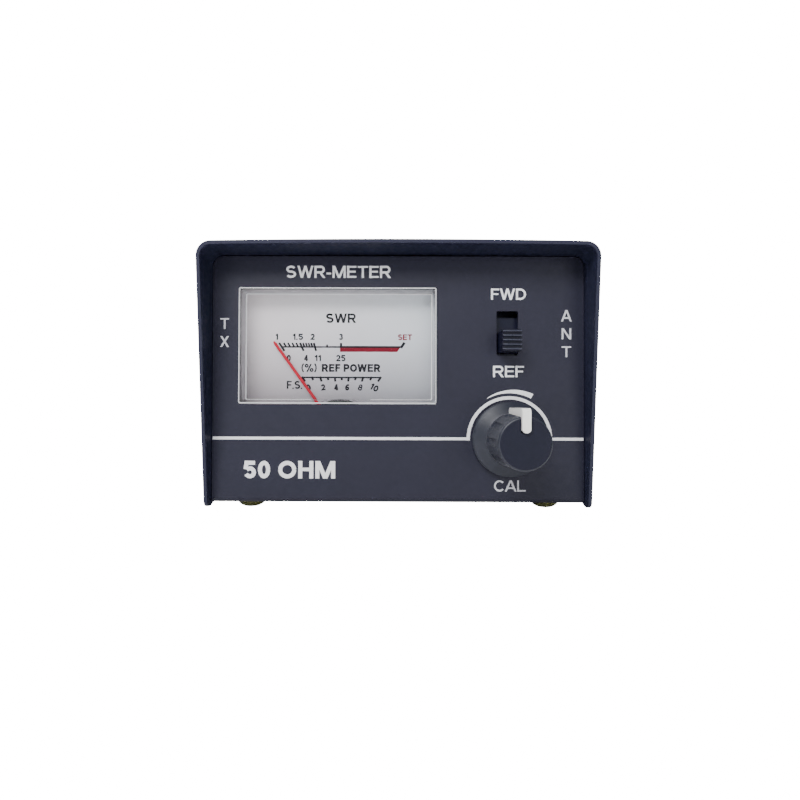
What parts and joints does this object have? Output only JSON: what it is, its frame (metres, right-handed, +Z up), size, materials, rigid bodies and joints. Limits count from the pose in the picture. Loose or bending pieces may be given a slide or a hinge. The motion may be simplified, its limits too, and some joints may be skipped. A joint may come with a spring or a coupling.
{
  "type": "swr meter",
  "caption": "Small bench meter for standing wave ratio: sheet steel case, moving-needle dial behind a clear window, slide switch, set knob and coaxial sockets behind.",
  "frame": {"origin": "centre of the bounding box in X and Y, at the underside of the feet", "axes": "+X right seen from the front, +Y towards the back and the sockets, +Z up; the front panel faces -Y"},
  "size_m": [0.1036, 0.09, 0.0702],
  "materials": {
    "panel_paint": "fine satin powder coat, dark blue-grey",
    "cover_paint": "fine satin powder coat, darker blue-grey",
    "clear_plastic": "clear moulded acrylic",
    "black_foam": "adhesive foam",
    "dial_white": "matt white enamel with printed scales",
    "black_plastic": "matt moulding",
    "switch_plastic": "satin moulding",
    "knob_plastic": "satin moulding",
    "white_plastic": "satin moulding",
    "insulator_plastic": "cast dielectric",
    "brass": "turned or pressed",
    "steel": "zinc plated",
    "nickel": "nickel plated, lightly brushed",
    "magnet": "sintered magnet alloy",
    "copper": "enamelled copper and phosphor bronze",
    "red_paint": "matt red paint on aluminium",
    "phenolic": "phenolic paper laminate",
    "urethane": "translucent moulded bumper",
    "diode_glass": "glass body with tinned leads",
    "red_insulation": "PVC insulation",
    "blue_insulation": "PVC insulation",
    "yellow_insulation": "PVC insulation"
  },
  "bodies": {
    "root": {"chassis": "panel_paint", "top_cover": "cover_paint", "meter_lens": "clear_plastic", "meter_gasket": "black_foam", "dial_plate": "dial_white", "meter_base": "black_plastic", "hub_cover": "black_plastic", "front_bridge": "brass", "front_jewel_screw": "steel", "rear_jewel_screw": "steel", "yoke_ring": "steel", "core_magnet": "magnet", "core_spacer": "brass", "meter_terminal_left": "brass", "meter_terminal_right": "brass", "switch_frame": "steel", "switch_base": "switch_plastic", "switch_nut_upper": "steel", "switch_nut_lower": "steel", "pot_bushing": "steel", "pot_body": "steel", "pot_element": "phenolic", "pot_nut": "nickel", "tx_socket_shell": "nickel", "tx_socket_insulator": "insulator_plastic", "tx_socket_contact": "brass", "ant_socket_shell": "nickel", "ant_socket_insulator": "insulator_plastic", "ant_socket_contact": "brass", "sense_board": "phenolic", "forward_diode": "diode_glass", "reflected_diode": "diode_glass", "forward_wire": "red_insulation", "reflected_wire": "blue_insulation", "meter_wire": "yellow_insulation", "cover_screw_left_front": "steel", "foot_left_front": "urethane", "cover_screw_left_rear": "steel", "foot_left_rear": "urethane", "cover_screw_right_front": "steel", "foot_right_front": "urethane", "cover_screw_right_rear": "steel", "foot_right_rear": "urethane", "tx_socket_screw_1": "steel", "tx_socket_screw_2": "steel", "ant_socket_screw_1": "steel", "ant_socket_screw_2": "steel"},
    "needle": {"needle": "red_paint", "coil": "copper", "front_pivot": "steel", "rear_pivot": "steel", "front_hairspring": "copper", "rear_hairspring": "copper"},
    "lever": {"switch_lever": "switch_plastic", "switch_contact": "brass"},
    "knob": {"knob": "knob_plastic", "knob_marker": "white_plastic", "pot_shaft": "steel", "pot_wiper": "brass"}
  },
  "joints": [
    {"name": "needle_swing", "type": "hinge", "parent": "root", "child": "needle", "pos_m": [-0.0154, -0.0136, 0.021], "axis": [0, 1, 0], "range_deg": [-2, 72], "stiffness_Nm_per_rad": 0.0002},
    {"name": "fwd_ref_slide", "type": "slide", "parent": "root", "child": "lever", "axis": [0, 0, 1], "range_m": [0, 0.005]},
    {"name": "cal_knob_turn", "type": "hinge", "parent": "root", "child": "knob", "pos_m": [0.02925, -0.0276, 0.0206], "axis": [0, 1, 0], "range_deg": [-150, 150]}
  ]
}
